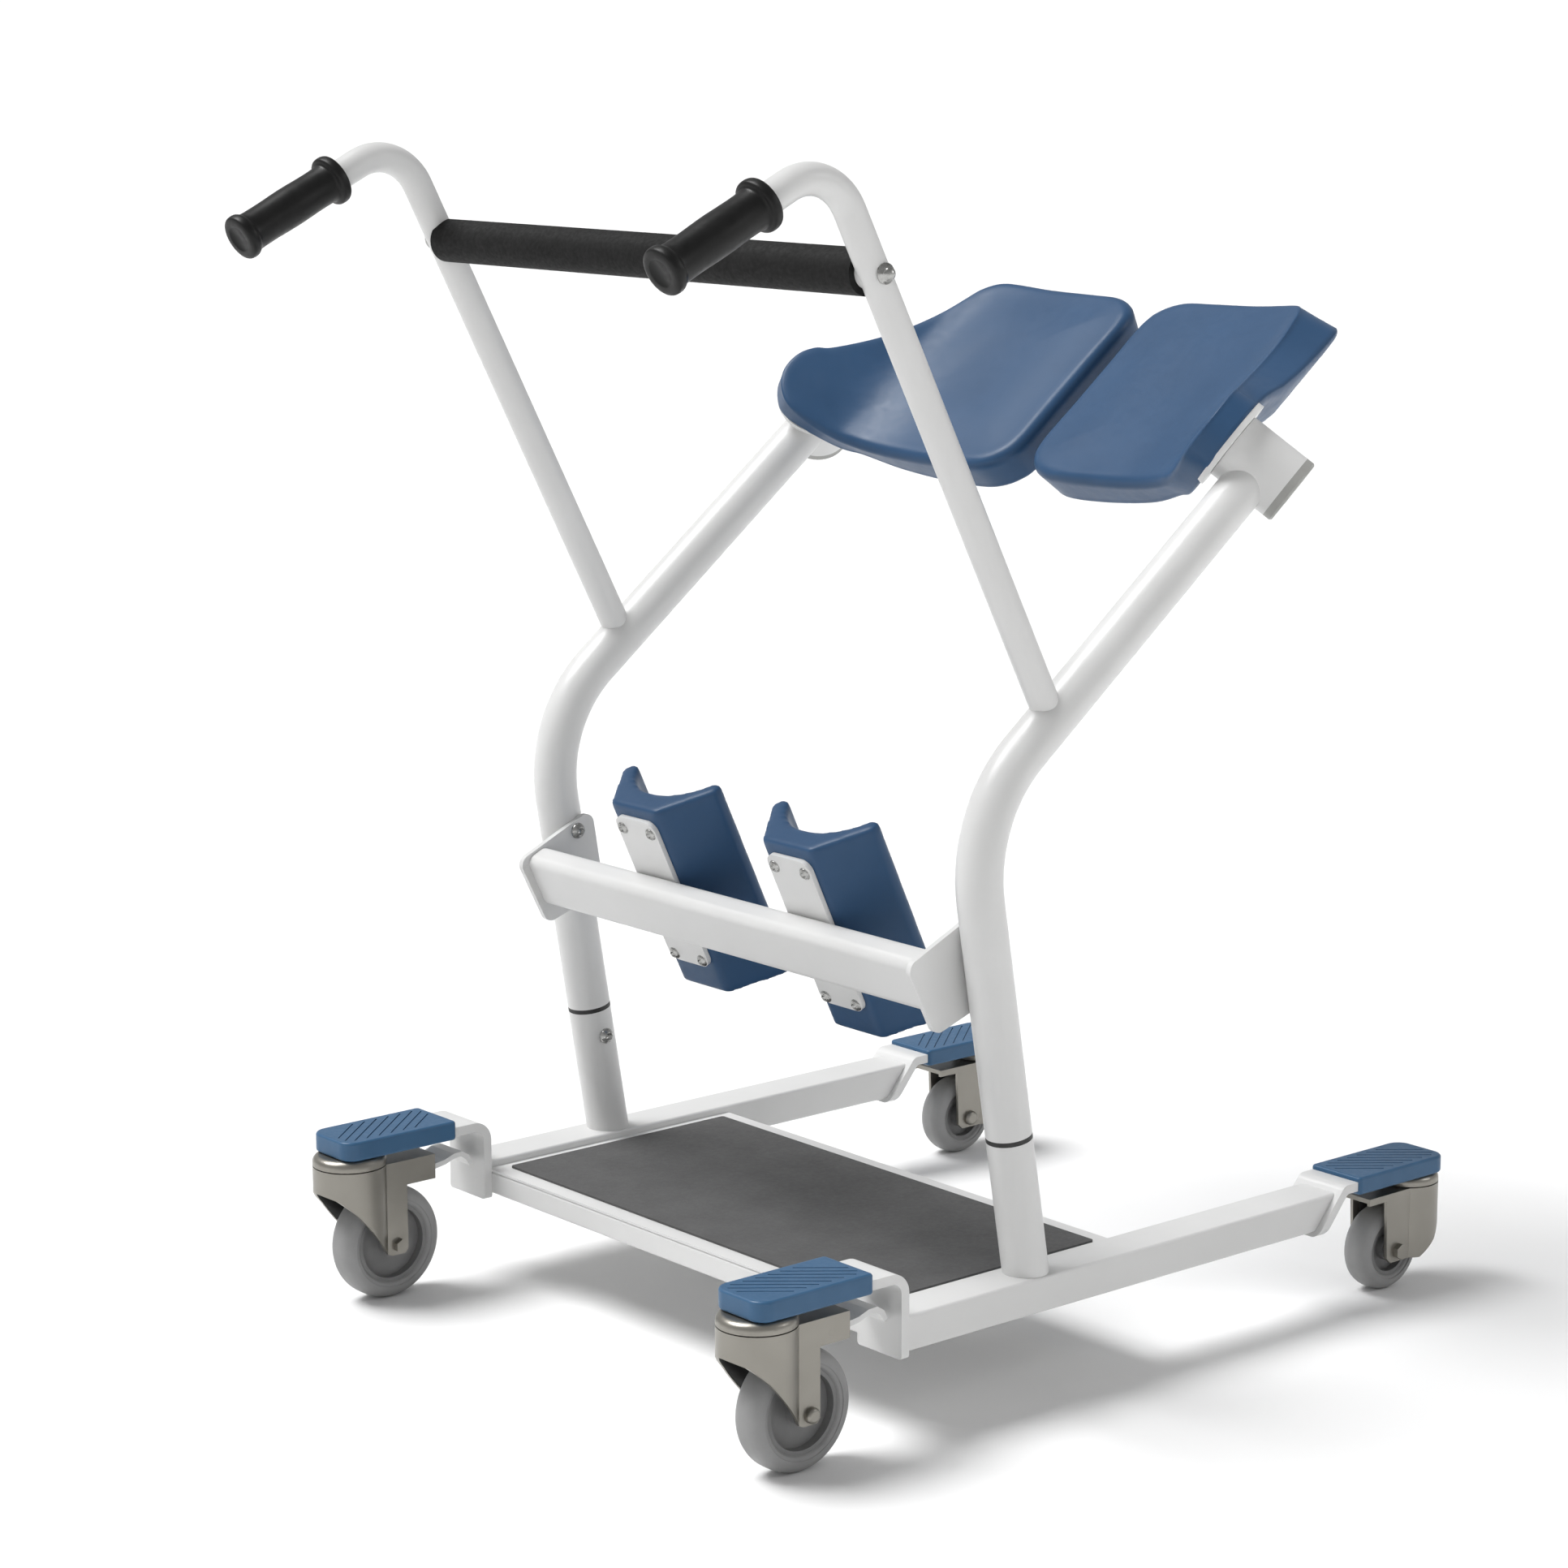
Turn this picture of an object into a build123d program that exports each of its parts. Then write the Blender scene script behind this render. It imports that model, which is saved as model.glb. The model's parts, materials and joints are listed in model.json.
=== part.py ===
from build123d import *
import math
import os

# Driving dimensions, all in millimetres, with +Z up and the handles towards -Y.
side_x = 275.0            # distance of rails, legs and casters from the middle plane
centre_y = 58.59          # middle of the whole lift along Y, moved to zero when saving

rail_width = 40.0
rail_bottom = 76.5
rail_top = 106.5
rail_wall = 2.5
rail_front_y = -149.0
rail_back_low_y = 322.0
rail_back_high_y = 347.0

cross_depth = 30.0
cross_bottom = 78.0
cross_top = 98.0
cross_back_y = 95.0
tray_thickness = 2.0
tray_back_y = 125.0
mat_half_width = 243.0
mat_front_y = -133.0
mat_back_y = 109.0
mat_thickness = 2.0

leg_radius = 19.0
leg_wall = 2.5
leg_lean = 9.55           # degrees from vertical, towards the front
upper_leg_angle = 38.0    # degrees above horizontal, towards the back
leg_bend_radius = 120.0
leg_corner_z = 488.1
leg_corner = (-(leg_corner_z - rail_top) * math.tan(math.radians(leg_lean)), leg_corner_z)
socket_length = 116.0
ring_thickness = 4.0

handle_radius = 12.5
handle_wall = 2.0
handle_foot = (13.0, 571.0)
handle_corner = (-209.2, 997.8)
handle_end = (-366.0, 921.0)
handle_bend_radius = 45.0
grip_length = 106.0

crossbar_yz = (-164.8, 912.5)
crossbar_radius = 18.0

bar_tilt = 25.0           # knee bar and pads lean forward at the top
bar_centre = (-82.2, 355.3)
bar_height = 50.0
bar_depth = 25.0
strap_thickness = 4.0
strap_half_width = 26.5
strap_x = 100.0
knee_pad_half_width = 65.0
knee_pad_depth = 55.0

hinge_yz = (254.0, 737.0)
hinge_roll = 40.0         # lean of the seat hinge axis away from the middle plane
pad_lobe_radius = 40.0
housing_radius = 29.0
housing_half_length = 27.0
spindle_radius = 20.0
flange_radius = 40.0
seat_origin = (250.0, 729.0)
seat_angle = 38.0

head_y_front = -281.0
head_y_back = 462.0
seam_gap = 1.0            # between a caster head and its fork
plate_width = 52.0
plate_thickness = 8.0
plate_corner = 12.0


def save(name, *solids):
    pieces = []
    for solid in solids:
        pieces.extend(solid.solids())
    moved = [Pos(0, -centre_y, 0) * piece for piece in pieces]
    shape = moved[0] if len(moved) == 1 else Compound(children=moved)
    shape.label = name
    export_step(shape, "parts/" + name + ".step")


def mirrored(shape):
    return mirror(shape, about=Plane.YZ)


def kept(shape):
    return shape


def yz_plate(points, x_low, x_high):
    """Solid made from a closed outline in Y and Z, between two X positions."""
    wire = Polyline(*[(x_low, y, z) for y, z in points], close=True)
    return extrude(make_face(wire), amount=x_high - x_low, dir=(1, 0, 0))


def rod(radius, start, end):
    axis = Vector(*end) - Vector(*start)
    plane = Plane(origin=start, z_dir=axis)
    return plane * Cylinder(radius, axis.length, align=(Align.CENTER, Align.CENTER, Align.MIN))


def bend_path(x, start, corner, end, radius):
    """Two straight runs joined by an arc, in the plane at X = x."""
    first = (Vector(0, *start) - Vector(0, *corner)).normalized()
    second = (Vector(0, *end) - Vector(0, *corner)).normalized()
    half = math.acos(first.dot(second)) / 2
    reach = radius / math.tan(half)
    middle = radius / math.sin(half)
    into = (first + second).normalized()
    a = Vector(x, *corner) + first * reach
    b = Vector(x, *corner) + second * reach
    m = Vector(x, *corner) + into * (middle - radius)
    run_in = Line((x, *start), a)
    arc = ThreePointArc(a, m, b)
    run_out = Line(b, (x, *end))
    return Wire([run_in.edge(), arc.edge(), run_out.edge()])


def bent_tube(path, radius, wall):
    start = path.position_at(0)
    plane = Plane(origin=start, z_dir=path.tangent_at(0))
    outer = sweep(plane * Circle(radius), path=path)
    if wall <= 0:
        return outer
    inner = sweep(plane * Circle(radius - wall), path=path)
    return outer - inner


def lower_leg(distance):
    lean = math.radians(leg_lean)
    return (-distance * math.sin(lean), rail_top + distance * math.cos(lean))


def domed_head(radius, height):
    head = Cylinder(radius, height, align=(Align.CENTER, Align.CENTER, Align.MIN))
    return fillet(head.edges().group_by(Axis.Z)[-1], min(height, radius) * 0.6)


tilt = math.radians(bar_tilt)
knee_back = Vector(0, math.cos(tilt), math.sin(tilt))
knee_up = Vector(0, -math.sin(tilt), math.cos(tilt))

lean = math.radians(leg_lean)
upper = math.radians(upper_leg_angle)
roll = math.radians(hinge_roll)
hinge_axis = Vector(math.sin(roll), math.cos(roll) * math.sin(upper), -math.cos(roll) * math.cos(upper))
hinge_centre = Vector(side_x, *hinge_yz)
hinge_plane = Plane(origin=hinge_centre, x_dir=(0, math.cos(upper), math.sin(upper)), z_dir=hinge_axis)


# Base frame -------------------------------------------------------------------
def side_rail():
    outline = [
        (rail_front_y, rail_bottom),
        (rail_back_low_y, rail_bottom),
        (rail_back_high_y, rail_top),
        (rail_front_y, rail_top),
    ]
    outer = yz_plate(outline, side_x - rail_width / 2, side_x + rail_width / 2)
    long_edges = outer.edges().filter_by(Axis.Y)
    outer = fillet(long_edges, 2.5)
    length = rail_back_high_y - rail_front_y + 40
    middle = (rail_back_high_y + rail_front_y) / 2
    hollow = Box(rail_width - 2 * rail_wall, length, rail_top - rail_bottom - 2 * rail_wall)
    return outer - Pos(side_x, middle, (rail_top + rail_bottom) / 2) * hollow


def cross_tube(front_y):
    width = 2 * (side_x - rail_width / 2)
    height = cross_top - cross_bottom
    outer = Box(width, cross_depth, height)
    outer = fillet(outer.edges().filter_by(Axis.X), 2.5)
    outer = outer - Box(width + 10, cross_depth - 4, height - 4)
    return Pos(0, front_y + cross_depth / 2, (cross_top + cross_bottom) / 2) * outer


def footplate_tray():
    width = 2 * (side_x - rail_width / 2)
    depth = tray_back_y - rail_front_y
    sheet = Box(width, depth, tray_thickness)
    return Pos(0, (tray_back_y + rail_front_y) / 2, cross_top + tray_thickness / 2) * sheet


def footplate_mat():
    sheet = Box(2 * mat_half_width, mat_back_y - mat_front_y, mat_thickness)
    sheet = fillet(sheet.edges().filter_by(Axis.Z), 3)
    z = cross_top + tray_thickness + mat_thickness / 2
    return Pos(0, (mat_back_y + mat_front_y) / 2, z) * sheet


# Caster brackets and their moulded covers -------------------------------------
front_cover_front = -302.0
front_cover_back = -188.0
front_cover_bottom = 135.5
front_cover_top = 152.5
front_cover_half_width = 29.5
front_plate_top = front_cover_top - 7
back_cover_front = 369.0
back_cover_back = 483.0
back_cover_bottom = 101.5
back_cover_top = 117.0
back_cover_half_width = 28.5


def front_bracket():
    top = front_plate_top
    low = 74.0
    outer_bend = 18.0
    face = rail_front_y - plate_thickness
    path_points = [
        (rail_front_y, low),
        (rail_front_y, top),
        (front_cover_front + 4, top),
        (front_cover_front + 4, top - plate_thickness),
        (face, top - plate_thickness),
        (face, low),
    ]
    plate = yz_plate(path_points, side_x - plate_width / 2, side_x + plate_width / 2)
    across = plate.edges().filter_by(Axis.X)
    outside = across.sort_by(lambda e: -(e.center().Y + e.center().Z))[0]
    plate = fillet(outside, outer_bend)
    across = plate.edges().filter_by(Axis.X)
    near_face = [e for e in across if abs(e.center().Y - face) < 0.1]
    inside = [e for e in near_face if abs(e.center().Z - top + plate_thickness) < 0.1]
    plate = fillet(inside, outer_bend - plate_thickness)
    lower = [e for e in plate.edges().filter_by(Axis.Y) if abs(e.center().Z - low) < 0.1]
    plate = fillet(lower, 3)
    plate = fillet(plate.edges().filter_by(Axis.Z).group_by(Axis.Y)[0], plate_corner)
    bolt_hole = Pos(side_x, head_y_front, top) * Cylinder(6.1, 40)
    return plate - bolt_hole


def back_bracket():
    top = back_cover_top - 4
    slope = (rail_back_high_y - rail_back_low_y) / (rail_top - rail_bottom)
    low = 73.0
    low_y = rail_back_low_y + (low - rail_bottom) * slope
    high_y = rail_back_low_y + (top - rail_bottom) * slope
    run = plate_thickness * math.sqrt(1 + slope * slope)
    under = top - plate_thickness
    under_y = rail_back_low_y + (under - rail_bottom) * slope + run
    outline = [
        (low_y, low),
        (high_y, top),
        (back_cover_back - 4, top),
        (back_cover_back - 4, under),
        (under_y, under),
        (low_y + run, low),
    ]
    plate = yz_plate(outline, side_x - plate_width / 2, side_x + plate_width / 2)
    across = plate.edges().filter_by(Axis.X)
    inner = [e for e in across if abs(e.center().Y - under_y) < 0.1 and abs(e.center().Z - under) < 0.1]
    plate = fillet(inner, 6)
    across = plate.edges().filter_by(Axis.X)
    outer = [e for e in across if abs(e.center().Y - high_y) < 0.1 and abs(e.center().Z - top) < 0.1]
    plate = fillet(outer, 10)
    lower = [e for e in plate.edges() if abs(e.center().Z - low) < 4 and abs(e.center().X - side_x) > 20]
    lower = [e for e in lower if e.length < 14]
    plate = fillet(lower, 7)
    plate = fillet(plate.edges().filter_by(Axis.Z).group_by(Axis.Y)[-1], plate_corner)
    bolt_hole = Pos(side_x, head_y_back, top) * Cylinder(6.1, 40)
    return plate - bolt_hole


def caster_cover(front_y, back_y, low, high, half_width, free_end, pocket_low, pocket_high, head_y):
    """Moulded cap that slides over a caster plate, grooved on top."""
    middle = (front_y + back_y) / 2
    block = Box(2 * half_width, back_y - front_y, high - low)
    block = Pos(side_x, middle, (low + high) / 2) * block
    ends = [e for e in block.edges().filter_by(Axis.Z) if (e.center().Y - middle) * free_end > 0]
    block = fillet(ends, 14)
    near = [e for e in block.edges().filter_by(Axis.Z) if (e.center().Y - middle) * free_end < 0]
    block = fillet(near, 4)
    block = fillet(block.edges().group_by(Axis.Z)[-1], 2.5)
    block = fillet(block.edges().group_by(Axis.Z)[0], 2.5)
    pocket_length = (back_y - front_y) - 4
    pocket = Box(plate_width, pocket_length + 20, pocket_high - pocket_low)
    pocket = fillet(pocket.edges().filter_by(Axis.Z), plate_corner)
    pocket_y = middle - free_end * 12
    block = block - Pos(side_x, pocket_y, (pocket_low + pocket_high) / 2) * pocket
    block = block - Pos(side_x, head_y, low) * Cylinder(15, 20)
    for step in range(-3, 5):
        groove = Rot(0, 0, 50) * Box(2 * half_width * 1.15, 1.4, 1.6)
        place = Pos(side_x, middle + step * 12.5 - 6, high)
        limit = Pos(side_x, middle, high) * Box(2 * half_width - 9, back_y - front_y - 12, 4)
        block = block - ((place * groove) & limit)
    return block


# Casters ----------------------------------------------------------------------
def caster_head(y, seam, radius, plate_under, cup_top, stem_low):
    """Fixed cup, stem and nut that hold a fork under its plate."""
    cup = Cylinder(radius, cup_top - seam, align=(Align.CENTER, Align.CENTER, Align.MIN))
    cup = fillet(cup.edges().group_by(Axis.Z)[-1], (cup_top - seam) * 0.7)
    cup = Pos(0, 0, seam) * cup
    neck = Cylinder(12, plate_under - cup_top + 1, align=(Align.CENTER, Align.CENTER, Align.MIN))
    cup = cup + Pos(0, 0, cup_top - 1) * neck
    bolt = Cylinder(6, plate_thickness, align=(Align.CENTER, Align.CENTER, Align.MIN))
    cup = cup + Pos(0, 0, plate_under) * bolt
    stem = Cylinder(9, seam - stem_low, align=(Align.CENTER, Align.CENTER, Align.MIN))
    cup = cup + Pos(0, 0, stem_low) * stem
    rivet = Cylinder(12, 2.5, align=(Align.CENTER, Align.CENTER, Align.MAX))
    cup = cup + Pos(0, 0, stem_low + 0.01) * rivet
    return Pos(side_x, y, 0) * cup


def fork(top, head_radius, half_width, reach, profile, wall, axle_y, axle_z, crown):
    """Stamped fork round its swivel axis, trailing towards +Y, before it is placed."""
    height = top - 10
    disc = Cylinder(head_radius, height, align=(Align.CENTER, Align.CENTER, Align.MIN))
    block = Box(2 * half_width, reach, height, align=(Align.CENTER, Align.CENTER, Align.MIN))
    outer = Pos(0, 0, 10) * (disc + Pos(0, reach / 2, 0) * block)
    inner_height = top - crown - 10
    disc_in = Cylinder(head_radius - wall, inner_height, align=(Align.CENTER, Align.CENTER, Align.MIN))
    width_in = 2 * (half_width - wall)
    block_in = Box(width_in, reach + 20, inner_height, align=(Align.CENTER, Align.CENTER, Align.MIN))
    inner = Pos(0, 0, 10) * (disc_in + Pos(0, reach / 2 + 10, 0) * block_in)
    shell = outer - inner
    keep = yz_plate(profile, -head_radius - 5, head_radius + 5)
    shell = shell & keep
    shell = shell - Cylinder(9.05, 400)
    bore = Pos(0, axle_y, axle_z) * Rot(0, 90, 0) * Cylinder(4.05, 2 * half_width + 20)
    return shell - bore


def axle_bolt(half_width, axle_y, axle_z, radius):
    shaft = Cylinder(4.0, 2 * half_width)
    head = extrude(RegularPolygon(radius, 6), amount=4.5)
    nut = domed_head(radius, 5.0)
    bolt = shaft + Pos(0, 0, half_width) * nut
    bolt = bolt + Pos(0, 0, -half_width - 4.5) * head
    return Pos(0, axle_y, axle_z) * Rot(0, 90, 0) * bolt


def tyre(radius, bore, width):
    half = width / 2
    crown = 4.0
    profile = make_face(
        Polyline(
            (bore, -half + 3),
            (radius - 8, -half),
            (radius - crown, -half + 1),
            (radius, -half + 6),
            (radius, half - 6),
            (radius - crown, half - 1),
            (radius - 8, half),
            (bore, half - 3),
            close=True,
        )
    )
    ring = revolve(Plane.XZ * profile, axis=Axis.Z)
    return Rot(0, 90, 0) * ring


def hub(bore, width):
    half = width / 2 - 3
    rim = Cylinder(bore, 2 * half) - Cylinder(bore - 3.5, 2 * half + 2)
    web = Cylinder(bore - 3.4, 9)
    boss = Cylinder(11, width - 4)
    body = rim + web + boss
    body = body - Cylinder(4.05, width + 10)
    return Rot(0, 90, 0) * body


def brake_pedal():
    """Curled foot lever behind a front fork, before it is placed on its caster."""
    half = 17.0
    outline = [
        (52, 113.5),
        (74, 113.5),
        (88, 115.5),
        (98, 119.0),
        (107, 119.5),
        (114, 115.0),
        (118, 107.0),
        (114.5, 105.5),
        (110.5, 111.8),
        (105, 115.3),
        (98.5, 114.6),
        (89, 111.2),
        (76, 109.0),
        (52, 109.0),
    ]
    lever = yz_plate(outline, -half, half)
    barrel = Pos(0, 56, 111.2) * Rot(0, 90, 0) * Cylinder(5, 34)
    lever = lever + barrel
    return lever - Pos(0, 56, 111.2) * Rot(0, 90, 0) * Cylinder(3.05, 60)


# Legs, handles and crossbar ---------------------------------------------------
def leg_path(x, first):
    start = lower_leg(first)
    return bend_path(x, start, leg_corner, hinge_yz, leg_bend_radius)


def leg_socket():
    top = lower_leg(socket_length)
    base = lower_leg(-8)
    stub = rod(leg_radius, (side_x, *base), (side_x, *top))
    bore_start = (side_x, *lower_leg(-9))
    bore_end = (side_x, *lower_leg(socket_length + 1))
    stub = stub - rod(leg_radius - leg_wall, bore_start, bore_end)
    stub = stub - Pos(side_x, 0, rail_top - 50) * Box(100, 200, 100)
    return stub - socket_bolt_hole()


def socket_bolt_hole():
    y, z = lower_leg(socket_length - 24)
    return Pos(side_x - 20, y, z) * Rot(0, 90, 0) * Cylinder(4.1, 30)


def leg_bolt():
    y, z = lower_leg(socket_length - 24)
    shank = Cylinder(4.0, 16, align=(Align.CENTER, Align.CENTER, Align.MAX))
    bolt = domed_head(7.0, 5.0) + shank
    return Pos(side_x - leg_radius, y, z) * Rot(0, -90, 0) * bolt


def leg_ring():
    a = lower_leg(socket_length)
    b = lower_leg(socket_length + ring_thickness)
    ring = rod(leg_radius, (side_x, *a), (side_x, *b))
    return ring - rod(leg_radius - leg_wall - 0.4, (side_x, *lower_leg(50)), (side_x, *lower_leg(200)))


def leg_tube():
    path = leg_path(side_x, socket_length + ring_thickness)
    tube = bent_tube(path, leg_radius, leg_wall)
    spigot_a = lower_leg(socket_length - 60)
    spigot_b = lower_leg(socket_length + 30)
    spigot = rod(leg_radius - leg_wall - 0.5, (side_x, *spigot_a), (side_x, *spigot_b))
    spigot = spigot - rod(leg_radius - leg_wall - 3, (side_x, *lower_leg(20)), (side_x, *lower_leg(200)))
    collar_a = lower_leg(socket_length + ring_thickness)
    collar_b = lower_leg(socket_length + ring_thickness + 10)
    collar = rod(leg_radius - 1, (side_x, *collar_a), (side_x, *collar_b))
    collar = collar - rod(leg_radius - leg_wall - 1, (side_x, *lower_leg(50)), (side_x, *lower_leg(200)))
    tube = tube + collar + spigot
    tube = tube - hinge_plane * Cylinder(housing_radius, 200)
    tube = tube - socket_bolt_hole()
    lug_y, lug_z = knee_bolt_yz()
    hole = Pos(side_x - leg_radius, lug_y, lug_z) * Rot(0, 90, 0) * Cylinder(4.1, 12)
    return tube - hole


def handle_path(x):
    return bend_path(x, handle_foot_inside(), handle_corner, handle_end_point(), handle_bend_radius)


def handle_foot_inside():
    dy = handle_corner[0] - handle_foot[0]
    dz = handle_corner[1] - handle_foot[1]
    length = math.hypot(dy, dz)
    return (handle_foot[0] - dy / length * 12, handle_foot[1] - dz / length * 12)


def grip_direction():
    dy = handle_end[0] - handle_corner[0]
    dz = handle_end[1] - handle_corner[1]
    length = math.hypot(dy, dz)
    return (dy / length, dz / length)


def handle_end_point():
    dy, dz = grip_direction()
    return (handle_end[0] - dy * 4, handle_end[1] - dz * 4)


def handle_tube():
    path = handle_path(side_x)
    tube = bent_tube(path, handle_radius, handle_wall)
    leg_solid = bent_tube(leg_path(side_x, 150), leg_radius, 0)
    tube = tube - leg_solid
    tube = tube.solids().sort_by(lambda s: s.volume)[-1]
    hole = Pos(side_x, *crossbar_yz) * Rot(0, 90, 0) * Cylinder(4.1, 60)
    return tube - hole


def grip():
    dy, dz = grip_direction()
    plane = Plane(origin=(side_x, *handle_end), x_dir=(1, 0, 0), z_dir=(0, -dy, -dz))
    outline = make_face(
        Polyline(
            (0, 0),
            (15.5, 0),
            (19, 3),
            (19, 8),
            (16.5, 11),
            (16.0, 30),
            (17.5, 55),
            (16.0, 84),
            (16.5, grip_length - 9),
            (21, grip_length - 6),
            (21, grip_length),
            (0, grip_length),
            close=True,
        )
    )
    body = revolve(Plane.XZ * outline, axis=Axis.Z)
    bore = Cylinder(handle_radius, grip_length, align=(Align.CENTER, Align.CENTER, Align.MIN))
    return plane * (body - Pos(0, 0, 4) * bore)


def crossbar_sleeve():
    y, z = crossbar_yz
    sleeve = rod(crossbar_radius, (-side_x + 8, y, z), (side_x - 8, y, z))
    sleeve = sleeve - rod(handle_radius, (-side_x, y, z), (side_x, y, z))
    for side in (-1, 1):
        clearance = bent_tube(handle_path(side * side_x), handle_radius + 0.05, 0)
        sleeve = sleeve - clearance
    return sleeve


def crossbar_tube():
    y, z = crossbar_yz
    bar = rod(handle_radius, (-side_x + 2, y, z), (side_x - 2, y, z))
    bar = bar - rod(handle_radius - 2, (-side_x - 2, y, z), (side_x + 2, y, z))
    for side in (-1, 1):
        bar = bar - bent_tube(handle_path(side * side_x), handle_radius, 0)
    return bar.solids().sort_by(lambda s: s.volume)[-1]


def crossbar_bolt():
    shank = Cylinder(4.0, 38, align=(Align.CENTER, Align.CENTER, Align.MAX))
    washer = Cylinder(8, 1.5, align=(Align.CENTER, Align.CENTER, Align.MIN))
    bolt = Pos(0, 0, 1.5) * domed_head(6.5, 7.0) + washer + shank
    return Pos(side_x + handle_radius, *crossbar_yz) * Rot(0, 90, 0) * bolt


# Knee support -----------------------------------------------------------------
def knee_bolt_yz():
    return (-48.0, 391.0)


def knee_end_plate():
    x_low = side_x - leg_radius - 5
    x_high = side_x - leg_radius
    outline = [(-112.0, 372.0), (-32.0, 408.6), (-19.5, 333.5), (-82.0, 312.0)]
    plate = yz_plate(outline, x_low, x_high)
    plate = fillet(plate.edges().filter_by(Axis.X), 9)
    y, z = knee_bolt_yz()
    slot = Pos((x_low + x_high) / 2, y, z) * Rot(0, 90, 0) * Cylinder(4.3, 20)
    return plate - slot


def knee_bolt():
    y, z = knee_bolt_yz()
    shank = Cylinder(4.0, 14, align=(Align.CENTER, Align.CENTER, Align.MAX))
    bolt = domed_head(7.0, 5.0) + shank
    return Pos(side_x - leg_radius - 5, y, z) * Rot(0, -90, 0) * bolt


knee_plane = Plane(origin=(0, *bar_centre), x_dir=(1, 0, 0), z_dir=knee_back)


def knee_bar():
    half = side_x - leg_radius - 5
    section = RectangleRounded(bar_depth, bar_height, 8)
    core = RectangleRounded(bar_depth - 5, bar_height - 5, 5.5)
    plane = Plane(origin=(-half, *bar_centre), x_dir=knee_back, z_dir=(1, 0, 0))
    outer = extrude(plane * section, amount=2 * half)
    inner = extrude(plane * core, amount=2 * half)
    return outer - inner


strap_top = 69.0
strap_bottom = -79.0
screw_rows = (61.5, -68.5)
screw_columns = (-18.7, 18.7)
pad_top = 90.0
pad_bottom = -99.0


def knee_strap(x):
    height = strap_top - strap_bottom
    middle = (strap_top + strap_bottom) / 2
    outline = Pos(x, middle) * RectangleRounded(2 * strap_half_width, height, 10)
    plane = knee_plane.offset(bar_depth / 2)
    strap = extrude(plane * Rot(0, 0, 0) * outline, amount=strap_thickness)
    for row in screw_rows:
        for column in screw_columns:
            strap = strap - plane * Pos(x + column, row, 0) * Cylinder(2.6, 20)
    return strap


def knee_screws(x):
    plane = knee_plane.offset(bar_depth / 2)
    screws = []
    for row in screw_rows:
        for column in screw_columns:
            shank = Cylinder(2.5, 16, align=(Align.CENTER, Align.CENTER, Align.MAX))
            screw = Rot(0, 180, 0) * (domed_head(5.5, 3.0) + shank)
            screws.append(plane * Pos(x + column, row, 0) * screw)
    return screws


def knee_pad(x):
    """Gutter shaped pad: flat back on the strap, two wings towards the user."""
    half = knee_pad_half_width
    start = bar_depth / 2 + strap_thickness
    plane = Plane(origin=knee_plane.origin + knee_up * pad_bottom, x_dir=(1, 0, 0), z_dir=knee_up)
    back = Polyline(
        (x - half + 6, start + knee_pad_depth),
        (x - half, start + knee_pad_depth - 10),
        (x - 30, start),
        (x + 30, start),
        (x + half, start + knee_pad_depth - 10),
        (x + half - 6, start + knee_pad_depth),
    )
    hollow_start = (x + half - 14, start + knee_pad_depth - 2)
    hollow_end = (x - half + 14, start + knee_pad_depth - 2)
    tip_a = Line((x + half - 6, start + knee_pad_depth), hollow_start)
    hollow = ThreePointArc(hollow_start, (x, start + 24), hollow_end)
    tip_b = Line(hollow_end, (x - half + 6, start + knee_pad_depth))
    face = make_face(back + tip_a + hollow + tip_b)
    pad = extrude(plane * face, amount=pad_top - pad_bottom)
    screw_plane = knee_plane.offset(start)
    for row in screw_rows:
        for column in screw_columns:
            pad = pad - screw_plane * Pos(x + column, row, 0) * Cylinder(2.6, 30)
    return pad


# Swinging seat halves ---------------------------------------------------------
def seat_housing():
    tube = Cylinder(housing_radius, 2 * housing_half_length)
    tube = tube - Cylinder(spindle_radius + 0.05, 2 * housing_half_length + 2)
    return hinge_plane * tube


def seat_cap():
    cap = Cylinder(housing_radius, 8, align=(Align.CENTER, Align.CENTER, Align.MIN))
    cap = chamfer(cap.edges().group_by(Axis.Z)[-1], 1.5)
    for turn in range(3):
        slot = Rot(0, 0, turn * 120 + 30) * Pos(18, 0, 8) * Box(12, 4, 5)
        cap = cap - slot
    return hinge_plane * Pos(0, 0, housing_half_length) * cap


def seat_carrier():
    low = -housing_half_length - 0.3
    flange = Cylinder(flange_radius, 5, align=(Align.CENTER, Align.CENTER, Align.MAX))
    flange = Pos(0, 0, low) * flange
    length = 2 * housing_half_length - 0.1
    spindle = Cylinder(spindle_radius, length, align=(Align.CENTER, Align.CENTER, Align.MIN))
    return hinge_plane * (flange + Pos(0, 0, low - 0.1) * spindle)


def seat_point(plane, x, along, height):
    return plane.from_local_coords(Vector(x, along, height))


def seat_slab(plane, first, last, end, under):
    """Slice of the pad between two places along the seat, from its section."""
    top = Spline((10, 0), (60, 0.5), (110, 2), (150, 4.5), (180, 9.5), (198, 15.5), (212, 23), (240, 46))
    slope = Line((240, 46), end[0])
    close = Polyline(*end, under[0])
    bottom = Spline(*under)
    inner = Line(under[-1], (10, 0))
    section = make_face(top + slope + close + bottom + inner)
    upright = plane * Plane(origin=(0, last, 0), x_dir=(1, 0, 0), z_dir=(0, -1, 0))
    return extrude(upright * section, amount=last - first)


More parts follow.
